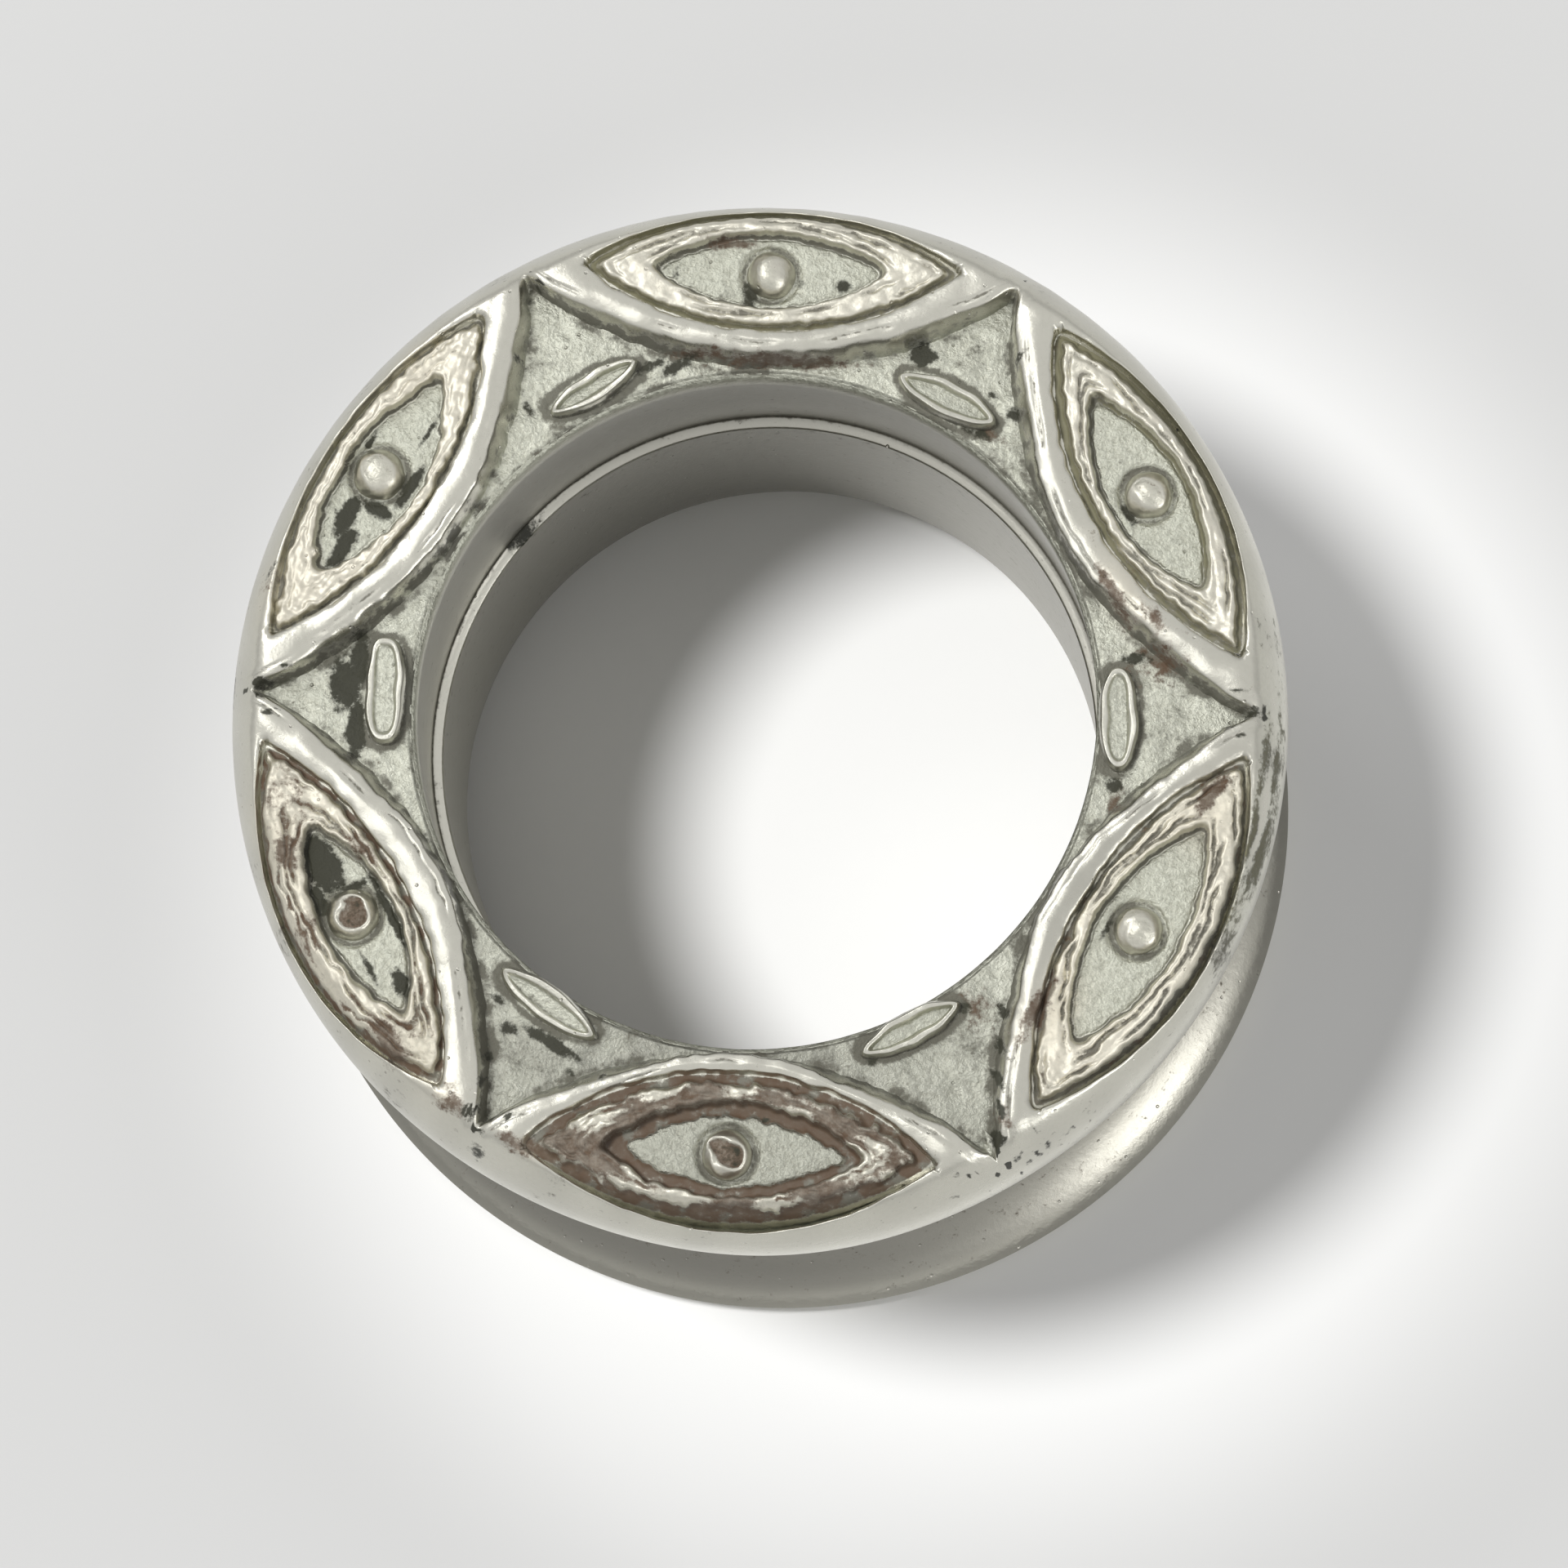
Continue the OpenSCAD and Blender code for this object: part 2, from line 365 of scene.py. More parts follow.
# stains: angle of the sector in degrees, place along it (anticlockwise) and out from the axis,
# half length and half width, all in mm, and strength
blackSpots = [
    (90, 0.26, 6.44, 0.14, 0.24, 1.0), (90, -1.12, 6.55, 0.13, 0.11, 1.0),
    (90, 1.42, 6.72, 0.10, 0.16, 0.6), (90, -0.45, 6.55, 0.12, 0.12, 0.6),
    (30, -0.12, 6.36, 0.24, 0.09, 0.8), (30, -0.30, 6.98, 0.20, 0.07, 0.5),
    (150, 1.17, 6.64, 0.34, 0.14, 1.1), (150, 0.70, 6.84, 0.36, 0.15, 1.1),
    (150, 0.38, 6.50, 0.13, 0.26, 1.1), (150, -0.15, 6.26, 0.40, 0.09, 1.1),
    (150, -0.44, 7.16, 0.26, 0.06, 0.8), (150, -1.15, 6.48, 0.45, 0.05, 0.7),
    (150, 2.05, 7.32, 0.28, 0.05, 0.7), (210, -1.00, 6.82, 0.48, 0.25, 1.2),
    (210, -0.52, 7.12, 0.26, 0.13, 1.1), (210, 1.22, 6.60, 0.30, 0.14, 1.0),
    (210, 0.75, 6.93, 0.30, 0.06, 0.8), (210, 0.10, 6.26, 0.72, 0.08, 1.0),
    (210, -0.46, 6.55, 0.08, 0.22, 0.9), (210, 3.42, 6.60, 0.13, 0.09, 1.0),
    (270, 0.40, 6.23, 0.09, 0.05, 0.8), (270, -0.30, 6.23, 0.08, 0.05, 0.7),
    (330, -0.10, 6.28, 0.34, 0.07, 0.6), (60, 0.72, 5.98, 0.20, 0.17, 1.2),
    (60, -0.52, 6.00, 0.12, 0.12, 0.7), (60, -0.55, 5.38, 0.36, 0.10, 0.8),
    (180, -0.28, 6.20, 0.38, 0.24, 1.2), (180, 0.45, 6.00, 0.46, 0.15, 1.1),
    (180, -0.62, 6.00, 0.42, 0.15, 1.1), (180, -0.18, 7.42, 0.10, 0.16, 0.8),
    (240, 0.10, 5.88, 0.55, 0.10, 1.0), (240, -0.55, 6.05, 0.16, 0.14, 0.9),
    (120, 0.85, 5.75, 0.10, 0.22, 0.7), (120, -1.15, 5.45, 0.30, 0.10, 0.8),
    (120, -1.45, 5.25, 0.35, 0.10, 0.9), (0, 0.90, 5.72, 0.10, 0.30, 0.8),
    (0, -1.05, 5.42, 0.18, 0.14, 0.8), (300, 0.62, 5.50, 0.12, 0.14, 0.8),
    (300, 0.75, 7.84, 0.07, 0.05, 0.8), (300, 0.40, 7.90, 0.06, 0.03, 0.8),
    (300, 0.26, 7.80, 0.08, 0.04, 0.7), (300, 1.20, 7.78, 0.06, 0.03, 0.7),
    (240, 0.02, 7.80, 0.16, 0.10, 0.7), (180, -0.25, 7.95, 0.40, 0.07, 0.7),
    (0, 0.10, 7.62, 0.25, 0.04, 0.7), (240, 0.20, 7.20, 0.07, 0.08, 0.9),
    (240, -0.27, 7.32, 0.06, 0.09, 0.9), (240, 0.00, 7.56, 0.05, 0.10, 0.8),
    (240, -0.44, 6.90, 0.06, 0.10, 0.8), (240, -0.58, 6.55, 0.07, 0.09, 0.9),
    (240, 1.08, 5.94, 0.07, 0.09, 0.8), (240, -0.92, 5.74, 0.16, 0.07, 0.8),
    (240, 0.60, 6.10, 0.10, 0.06, 0.7), (300, 0.10, 7.46, 0.12, 0.13, 1.1),
    (300, 0.36, 7.14, 0.06, 0.22, 1.0), (300, 0.56, 6.72, 0.07, 0.22, 1.0),
    (300, 0.82, 6.30, 0.09, 0.20, 0.9), (300, 1.12, 5.85, 0.10, 0.16, 0.9),
    (300, -0.92, 5.55, 0.16, 0.07, 0.8), (0, 0.36, 7.22, 0.06, 0.14, 0.8),
    (0, 0.05, 7.46, 0.08, 0.12, 0.9), (0, -0.30, 7.28, 0.07, 0.12, 0.7),
    (60, -0.62, 6.62, 0.07, 0.20, 0.7), (60, -0.95, 5.92, 0.12, 0.12, 0.9),
    (120, -0.18, 7.28, 0.06, 0.14, 0.7), (120, 0.62, 6.45, 0.07, 0.12, 0.7),
    (180, 0.30, 7.30, 0.07, 0.12, 0.8), (180, -0.42, 7.05, 0.07, 0.12, 0.8),
]
brownSpots = [
    (90, 0.55, 7.18, 0.42, 0.08, 0.9), (90, -0.30, 5.36, 1.00, 0.08, 0.9),
    (90, 1.00, 5.45, 0.50, 0.08, 0.7), (30, -1.10, 5.55, 0.55, 0.12, 0.8),
    (30, -1.75, 5.90, 0.35, 0.12, 0.7), (150, 2.20, 7.25, 0.25, 0.12, 0.5),
    (0, 0.85, 6.05, 0.30, 0.50, 0.6), (60, -0.60, 5.45, 0.38, 0.12, 0.8),
    (300, 0.80, 5.62, 0.25, 0.35, 0.6), (300, 0.35, 7.30, 0.10, 0.22, 0.8),
    (240, 0.50, 7.45, 0.34, 0.11, 0.8), (240, -0.62, 7.48, 0.30, 0.09, 0.8),
    (210, 3.20, 6.66, 0.25, 0.12, 0.8), (0, -1.20, 5.45, 0.25, 0.12, 0.7),
    (330, -1.75, 6.05, 0.50, 0.13, 0.9), (330, 2.40, 6.56, 0.35, 0.12, 0.8),
    (210, 1.95, 7.20, 0.32, 0.14, 0.8), (210, -1.30, 7.25, 0.30, 0.10, 0.7),
]
beigeSpots = [
    (330, -1.60, 6.25, 0.50, 0.30, 1.0), (330, 2.20, 6.70, 0.50, 0.30, 0.8),
    (210, -1.40, 7.20, 0.60, 0.25, 0.8), (210, 2.30, 6.80, 0.60, 0.25, 0.8),
    (150, 2.20, 7.10, 0.50, 0.30, 0.6), (150, -1.80, 7.15, 0.50, 0.25, 0.6),
    (240, 0.70, 7.42, 0.16, 0.08, 1.2), (240, -0.75, 7.42, 0.16, 0.08, 1.2),
    (30, -1.20, 5.70, 0.60, 0.20, 0.8),
]

leaf = {
    "height": 0.27,     # above the floor
    "bury": 0.15,       # how far its sides reach down into the floor
    "columns": 90, "rows": 60,
    "reach": 0.985,     # its columns end at this share of a quarter turn, just short of its ends
}

# each leaf: angle in degrees, radius, turn in degrees, depth of its hollow middle,
# how much it leans outwards, half its length and width, and the power that makes its ends blunt
leaves = [
    (-0.4, 5.48, -2, 0.07, 0.00, 0.80, 0.30, 2.2), (60.2, 5.56, -4, 0.10, 0.06, 0.84, 0.29, 1.9),
    (118.0, 5.56, -6, 0.12, 0.10, 0.78, 0.26, 1.8), (178.6, 5.58, -2, 0.07, 0.00, 0.82, 0.31, 2.6),
    (237.4, 5.42, 2, 0.06, 0.12, 0.88, 0.28, 1.8), (297.6, 5.42, -2, 0.12, 0.06, 0.84, 0.27, 1.8),
]


# places and distances on the face

def eyePlace(x, y, angle):
    # coordinates along and across an eye: along runs anticlockwise, across runs outwards from the eye's bead
    c, s = math.cos(math.radians(angle)), math.sin(math.radians(angle))
    return y * c - x * s, x * c + y * s - relief["eyeRadius"]


def ringPlace(along, out, angle):
    # the way back: x and y of a point that lies along a sector and out from the axis
    c, s = math.cos(math.radians(angle)), math.sin(math.radians(angle))
    return out * c - along * s, out * s + along * c


def leafDepth(along, across, half, rise, power):
    # distance inside a leaf's blunt oval, positive inside: the oval's size divided by the length of its slope
    a, b = np.abs(along) / half, np.abs(across) / rise
    size = (a ** power + b ** power + 1e-9) ** (1 / power)
    slope = np.hypot((a / size) ** (power - 1) / half, (b / size) ** (power - 1) / rise)
    return (1 - size) / slope


def leafShadow(x, y):
    # a soft line on the floor just outside every leaf
    total = np.zeros(x.shape)
    for angle, radius, _, _, _, half, rise, power in leaves:
        along, across = eyePlace(x, y, angle)
        inward = leafDepth(along, across + relief["eyeRadius"] - radius, half, rise, power)
        total = np.maximum(total, mound(inward, -0.04, 0.07))
    return total


def spots(table, x, y):
    # the strongest of several soft oval stains
    total = np.zeros(x.shape)
    for angle, alongAt, outAt, long, wide, strength in table:
        along, across = eyePlace(x, y, angle)
        gone = ((along - alongAt) / long) ** 2 + ((across + relief["eyeRadius"] - outAt) / wide) ** 2
        total = np.maximum(total, strength * np.exp(-0.7 * gone))
    return total


def nearPlace(name, around):
    # a bell curve round the ring: 1 in the middle of a place
    degrees, width = placesRound[name]
    return mound(angleFrom(around, math.radians(degrees)), 0, width)


def arc(centre, radius, start, end, count):
    # points of a circle's arc, from one angle in degrees to another
    a = np.radians(np.linspace(start, end, count))
    return np.stack([centre[0] + radius * np.cos(a), centre[1] + radius * np.sin(a)], 1)


def sectionPath():
    # the outline of the cut metal, from the hole's edge outwards over the face, down the waist,
    # under the back flare and up the hole: straight lines and arcs, then softened by a bell-shaped average,
    # fully on the face, hardly below it, and not at the two ends
    bore, top = body["boreRadius"], body["frontTop"]
    face = np.array([[bore, top], [body["flatEnds"], top]])
    wall = np.array([[bore, top - body["floorDrop"] - 0.08]])
    rough = np.concatenate([face] + [arc(*sizes) for sizes in sectionArcs.values()] + [wall])
    length = np.concatenate([[0], np.cumsum(np.hypot(*np.diff(rough, axis=0).T))])
    even = np.arange(0, length[-1], body["sectionStep"])
    path = np.stack([np.interp(even, length, rough[:, k]) for k in (0, 1)], 1)
    half = 50  # points on each side that count in the average
    reach = np.arange(-half, half + 1) * body["sectionStep"]
    bell = mound(reach, 0, body["creaseSoftness"] * math.sqrt(2))
    bell /= bell.sum()
    soft = np.stack([np.convolve(np.pad(path[:, k], half, "edge"), bell, "valid") for k in (0, 1)], 1)
    share = smoothStep(0.2, 0.6, even) * smoothStep(0.2, 0.6, even[-1] - even)
    share = share * (0.1 + 0.9 * smoothStep(8.2, 8.8, path[:, 1]))
    return even, path + (soft - path) * share[:, None]


pathAt, pathPoint = sectionPath()
upperHalf = 7  # mm: only the front flange is this high
widestAt = pathAt[np.argmax(np.where(pathPoint[:, 1] > upperHalf, pathPoint[:, 0], 0))]
frontPart = pathAt <= widestAt
mouthAt = pathAt[np.argmax(pathAt * (pathPoint[:, 1] < body["mouthTop"]))]


def faceHeight(radius):
    # height of the untouched face at a radius
    return np.interp(radius, pathPoint[frontPart, 0], pathPoint[frontPart, 1])


def faceReach(radius):
    # distance along the section at which the face has a radius
    return np.interp(radius, pathPoint[frontPart, 0], pathAt[frontPart])


# each band's side towards the hole is a circle through its nearest point and the tips it shares
halfStep = math.radians(30)  # from an eye's middle to its tip
tipAlong, tipOut = relief["bandTip"] * math.sin(halfStep), relief["bandTip"] * math.cos(halfStep)
bandRadius = arcRadius(tipAlong, tipOut - relief["bandLow"])
bandCentre = relief["bandLow"] + bandRadius


def faceDistances(x, y):
    # distances into the three-sided recesses and into the eyes' sunken fields, positive inside, and the dark
    # dirt and painted shade on the flank of the nearest band and that flank's width
    recess, field, soilAndShade, flank = (np.full(x.shape, start) for start in (9.0, -9.0, 0.0, 0.0))
    for eye in eyes:
        along, across = eyePlace(x, y, eye["angle"])
        away = np.hypot(along, across + relief["eyeRadius"] - bandCentre) - bandRadius
        clockwise, anticlockwise, middle = eye["flank"]
        soilAndShade = np.where(away < recess, np.where(along < 0, clockwise, anticlockwise), soilAndShade)
        fromMiddle = np.abs(along)
        width = middle + (relief["flank"] - middle) * smoothStep(0.5, 1.8, fromMiddle)
        width = width * (1 - 0.6 * smoothStep(2.2, 3.6, fromMiddle))
        flank = np.where(away < recess, width, flank)
        recess = np.minimum(recess, away)
        field = np.maximum(field, almondDepth(along, across, *eye["field"]))
    return recess, field, soilAndShade, flank


def whereRayMeets(around, angle, centre, radius, side, missed):
    # distance from the axis at which rays meet a circle that stands on an eye's line
    fromEye = angleFrom(around, math.radians(angle))
    square = radius ** 2 - (centre * np.sin(fromEye)) ** 2
    reach = centre * np.cos(fromEye) + side * np.sqrt(np.maximum(square, 0))
    return np.where((square > 0) & (np.cos(fromEye) > 0), reach, missed)


def slantOf(reach):
    # how much longer a cut along the ray is than one square to the wall
    change = (np.roll(reach, -1) - np.roll(reach, 1)) * len(reach) / (2 * turn)
    return np.minimum(np.hypot(1, change / reach), 2.4)


def wallsAround(around):
    # radii at which a ray from the axis crosses the band's edge and the two sides of an eye's field
    band = np.full(around.shape, relief["wallEnds"])
    near, far = np.full(around.shape, 9.0), np.zeros(around.shape)
    for eye in eyes:
        half, riseIn, riseOut = eye["field"]
        inner, outer = arcRadius(half, riseIn), arcRadius(half, riseOut)
        innerCentre, outerCentre = relief["eyeRadius"] - riseIn + inner, relief["eyeRadius"] + riseOut - outer
        nearHere = whereRayMeets(around, eye["angle"], innerCentre, inner, -1, 9.0)
        farHere = whereRayMeets(around, eye["angle"], outerCentre, outer, 1, 0.0)
        inside = nearHere < farHere
        near, far = np.where(inside, nearHere, near), np.where(inside, farHere, far)
        band = np.minimum(band, whereRayMeets(around, eye["angle"], bandCentre, bandRadius, -1, 9.0))
    middle = 0.5 * (near + far)
    inField = far > 1
    crossed = np.flatnonzero(inField)
    middle = np.interp(np.arange(len(around)), crossed, middle[crossed], period=len(around))
    return band, np.where(inField, near, middle), np.where(inField, far, middle)


# the ring itself

def rowsBetween(stops, counts):
    # even steps from each stop to the next, for all columns at once
    steps = zip(stops[:-1], stops[1:], counts)
    return np.concatenate([low + (high - low) * np.arange(n)[:, None] / n for low, high, n in steps])


def bodyRows(around):
    # how far along the section each column's points lie, gathered where walls and edges are,
    # and where the joint ring lies
    wall, nearSide, farSide = wallsAround(around)
    slant, nearSlant, farSlant = slantOf(wall), slantOf(nearSide), slantOf(farSide)
    same = 0 * around
    stops = [faceReach(same + body["boreRadius"])]
    wanted = (
        # radius, and least distance from the stop before
        (same + body["boreRadius"] + 0.06, 0.03),
        (wall - 0.05 * slant, 0.02),
        (np.minimum(wall + 0.25 * slant, relief["rowEnds"]), 0.12),
        (nearSide - 0.05 * nearSlant, 0.04),
        (nearSide + 0.08 * nearSlant, 0.06),
        (farSide - 0.08 * farSlant, 0.02),
        (farSide + 0.05 * farSlant, 0.06),
        (same + 7.86, 0.08),
    )
    for radius, gap in wanted:
        stops.append(np.maximum(faceReach(radius), stops[-1] + gap))
    stops.append(same + widestAt)
    face = rowsBetween(stops, (3, 6, 16, 8, 9, 2, 9, 9, 11))
    seam = body["seamHeight"] + body["seamTilt"] * np.cos(around - math.radians(body["seamTowards"]))
    seamAt = mouthAt + seam - body["mouthTop"]
    reach = 2.5 * body["seamHalf"]
    # then the flange's edge, the waist, the back flare and the mouth, the hole, the joint ring and the rest
    stops = [same + widestAt, same + widestAt + 0.35, same + mouthAt - 3.1, same + mouthAt,
             seamAt - reach, seamAt + reach, same + pathAt[-1]]
    return np.concatenate([face, rowsBetween(stops, (6, 18, 9, 4, 14, 6))]), seamAt


def makeBody():
    # a grid round the ring: each column is the section, lowered on the face by the carving's depth
    around = np.arange(body["columns"]) * turn / body["columns"]
    at, seamAt = bodyRows(around)
    radius, height = (np.interp(at, pathAt, column) for column in pathPoint.T)
    x, y = radius * np.cos(around), radius * np.sin(around)
    onFace = at < widestAt

    # depth of the recesses and fields, the bands' falling edges, and a fine line along each band
    wobble = 0.014 * lumps(x, y, 0.9, 11) + 0.011 * lumps(x, y, 0.3, 12)
    wobble = wobble * (1 - 0.75 * smoothStep(7.2, 7.6, radius))
    recess, field, soilAndShade, flank = faceDistances(x, y)
    recess, field = recess + wobble, field + wobble
    closing = 1 - smoothStep(*relief["recessEnds"], radius + 0.03 * lumps(x, y, 0.5, 17))
    inRecess = smoothStep(0, 1, (recess + flank) / (flank + 0.03)) * closing
    sunk = np.maximum(inRecess, 1.15 * smoothStep(-0.05, 0.07, field))
    fromRecess = 0.03 - recess - flank + relief["crownWidth"] * smoothStep(7.58, 7.88, radius)
    edge = np.clip(np.minimum(fromRecess, -field) / relief["crownWidth"], 0, 1)
    depth = (body["floorDrop"] + 0.04) * sunk + relief["crown"] * (1 - edge) ** 2 * (1 - np.minimum(sunk, 1))
    onFlank = mound(recess, -0.2 * flank, 0.03 + 0.3 * flank) * (0.3 + 0.7 * closing)
    depth = depth + 0.010 * (1 + lumps(x, y, 0.7, 13)) + 0.012 * lumps(x, y, 0.17, 14) * onFlank
    bandLine = mound(recess, -flank - 0.11, 0.021) * smoothStep(-0.4, 0.5, lumps(x, y, 1.1, 25)) * closing
    depth = depth + 0.05 * (1 - smoothStep(0, 0.06, at)) + 0.025 * bandLine
    height = np.minimum(height - np.where(onFace, depth, 0), body["frontTop"] - 0.002)

    # the flange's uneven edge, and the step and lip of the joint ring
    swell = body["bulge"] * nearPlace("bulge", around) - body["dent"] * nearPlace("dent", around)
    radius = radius + smoothStep(6.2, 7.8, height) * smoothStep(6.9, 7.9, radius) * (body["spread"] + swell)
    fromSeam = (at - seamAt) / body["seamHalf"]
    towardsEnd = (at - seamAt) / (pathAt[-1] - seamAt)
    step = smoothStep(-0.8, 0.8, fromSeam) * (1 - smoothStep(0.2, 0.95, towardsEnd))
    lip = 0.35 * mound(fromSeam, -0.7, 0.6)
    radius = radius + np.where(at > mouthAt, body["seamStep"] * (step - lip), 0)
    loops = np.stack([radius * np.cos(around), radius * np.sin(around), height], -1).transpose(1, 0, 2)

    # where each finish lies on the face
    shoulder = onFace * smoothStep(7.5, 7.7, radius)
    rimStreaks = nearPlace("streaks", around) * smoothStep(7.55, 7.75, radius) * onFace \
        * smoothStep(7.9, 8.7, height) * (0.5 + 0.35 * lumps(3.0 * (around + 0 * at), 2.6 * radius, 0.5, 15))
    streaks = lumps(5 * (around + 0 * at), 0.5 * radius, 0.6, 18)
    bandFilm = 0.05 + 0.20 * nearPlace("bandFilm", around)
    nearTips = mound(recess, -flank, 0.07) * smoothStep(6.9, 7.3, radius)
    specks = nearTips + shoulder * nearPlace("specks", around)
    specks = specks * smoothStep(0.6, 1.3, lumps(x, y, 0.15, 26))
    face = {
        "grain": smoothStep(0.5, 0.95, sunk) + 0.06 + 0.5 * rimStreaks,
        # dark dirt and painted shade along the bands' flanks
        "shade": (1.05 + 0.25 * lumps(x, y, 0.25, 22)) * onFlank * soilAndShade + 0.8 * bandLine + rimStreaks
        + (0.05 + 0.14 * streaks) * shoulder,
        "black": (spots(blackSpots, x, y) + specks) * smoothStep(7.9, 8.4, height),
        "warm": spots(brownSpots, x, y),
        "green": rimStreaks,
        "beige": spots(beigeSpots, x, y),
        "satin": (0.06 + 0.10 * streaks) * shoulder,
        "film": bandFilm * smoothStep(7.65, 7.45, radius),
    }

    # and where it lies on the waist and inside the hole, where much of it is painted shade
    inHole = smoothStep(mouthAt - 0.4, mouthAt, at)
    # painted shade on the waist, the front flange's shadow: grey, dull, brown-tinted and darker
    waist = smoothStep(0.2, 0.8, height) * smoothStep(8.0, 6.6, height) * (1 - onFace) * (1 - inHole)
    # less painted shade on the outer flare, which catches the light
    flareShine = nearPlace("shine", around) * smoothStep(7.0, 7.6, radius)
    # painted shade: dark lines just below the joint ring's lip and a little above it
    seamShade = mound(fromSeam, 0.9, 0.45) + 0.8 * mound(fromSeam, -1.9, 0.5)
    # painted shade on the hole's wall, lighter at the left and just above the joint ring
    holeWallShade = inHole * (1 - 0.8 * nearPlace("litInHole", around)) * (1 - 0.8 * mound(fromSeam, -0.4, 0.8))
    elsewhere = {
        "grain": 0.06,
        "shade": inHole * (0.95 * seamShade + 0.10) + 0.15 * waist,
        "black": 0.75 * inHole * mound(fromSeam, 0.2, 1.6) * nearPlace("blackSeam", around),
        "warm": 0.12 * waist,
        "green": 0.0,
        "beige": 0.3 * waist,
        "satin": np.maximum(holeWallShade, (0.8 - 0.6 * flareShine) * waist),
        "film": 0.32 * inHole * nearPlace("shadeInHole", around) + (0.64 - 0.48 * flareShine) * waist,
    }
    marks = {name: np.where(onFace, face[name], elsewhere[name]).T for name in markNames}
    piece = meshFromLoops("castRing", loops, True, marks)
    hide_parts("tunnel")
    return piece


castRing = makeBody()
print("cast ring made:", len(castRing.data.polygons), "faces")


# the floors of the recesses between the eyes

recessFloor = {
    "columns": 1300, "rows": 66,
    "inner": 5.19,        # radius of its edge beside the hole
    "spare": 0.06,        # how far it reaches under the bands' walls
    "bottomDrop": 1.4,
    "dull": 0.62,         # grey film where the floors are dull
}


def makeRecessFloor():
    # a ring-shaped plate: rows run from the hole's edge to the foot of the bands' walls
    around = np.arange(recessFloor["columns"]) * turn / recessFloor["columns"]
    wall, _, _ = wallsAround(around)
    inner, outer = recessFloor["inner"], wall + recessFloor["spare"] * slantOf(wall)
    radius = inner + (outer - inner) * np.linspace(0, 1, recessFloor["rows"])[:, None]
    x, y = radius * np.cos(around), radius * np.sin(around)
    recess, _, soilAndShade, _ = faceDistances(x, y)
    depth = body["floorDrop"] + 0.010 * (1 + lumps(x, y, 0.7, 13)) + 0.004 * lumps(x, y, 0.25, 19)
    depth = depth + 0.05 * (1 - smoothStep(0, 0.07, radius - inner))
    surface = faceHeight(radius) - depth

    mottled = 0.5 + 0.5 * lumps(x, y, 0.35, 21)
    # dark dirt and painted shade at the foot of the walls
    foot = mound(recess, 0.03, 0.09) * soilAndShade * (0.5 + 0.6 * mottled)
    dull = recessFloor["dull"] * nearPlace("dullFloors", around)
    marks = {
        "grain": 0.85 + 0.1 * mottled,
        "shade": 0.8 * foot + 0.9 * leafShadow(x, y) + 0.16 + 0.20 * lumps(x, y, 1.1, 16)
        + 0.35 * mound(radius, inner, 0.07),
        "black": spots(blackSpots, x, y),
        "warm": spots(brownSpots, x, y),
        "beige": spots(beigeSpots, x, y),
        "film": dull * (0.9 + 0.15 * lumps(x, y, 0.5, 24)),
    }
    marks = {name: mark.T for name, mark in marks.items()}
    makePlate("recessFloor", x.T, y.T, surface.T, body["frontTop"] - recessFloor["bottomDrop"], True, marks)


makeRecessFloor()
print("recess floor made")


# the eyes' ridges and floors

eyeField = {
    "spare": 0.07,            # how far a plate reaches into the walls of its pocket
    "grooveDrop": 0.27,       # depths below the face: of the outer groove,
    "ridgeDrop": 0.10,        # of the ridge,
    "innerDrop": 0.42,        # of the groove round the pupil
    "floorDrop": 0.36,        # and of the pupil's floor
    "ridgeCrown": 0.06,       # how far the ridge's edges lie below its middle
    "crownWidth": 0.10,       # width of the strip at each edge in which it falls
    "lineDepth": 0.055, "lineHalf": 0.034,
    "bottomDrop": 1.45,
    "columns": 250, "rows": 112,
    "reach": 0.985,           # its columns end at this share of a quarter turn, just short of the tips
}


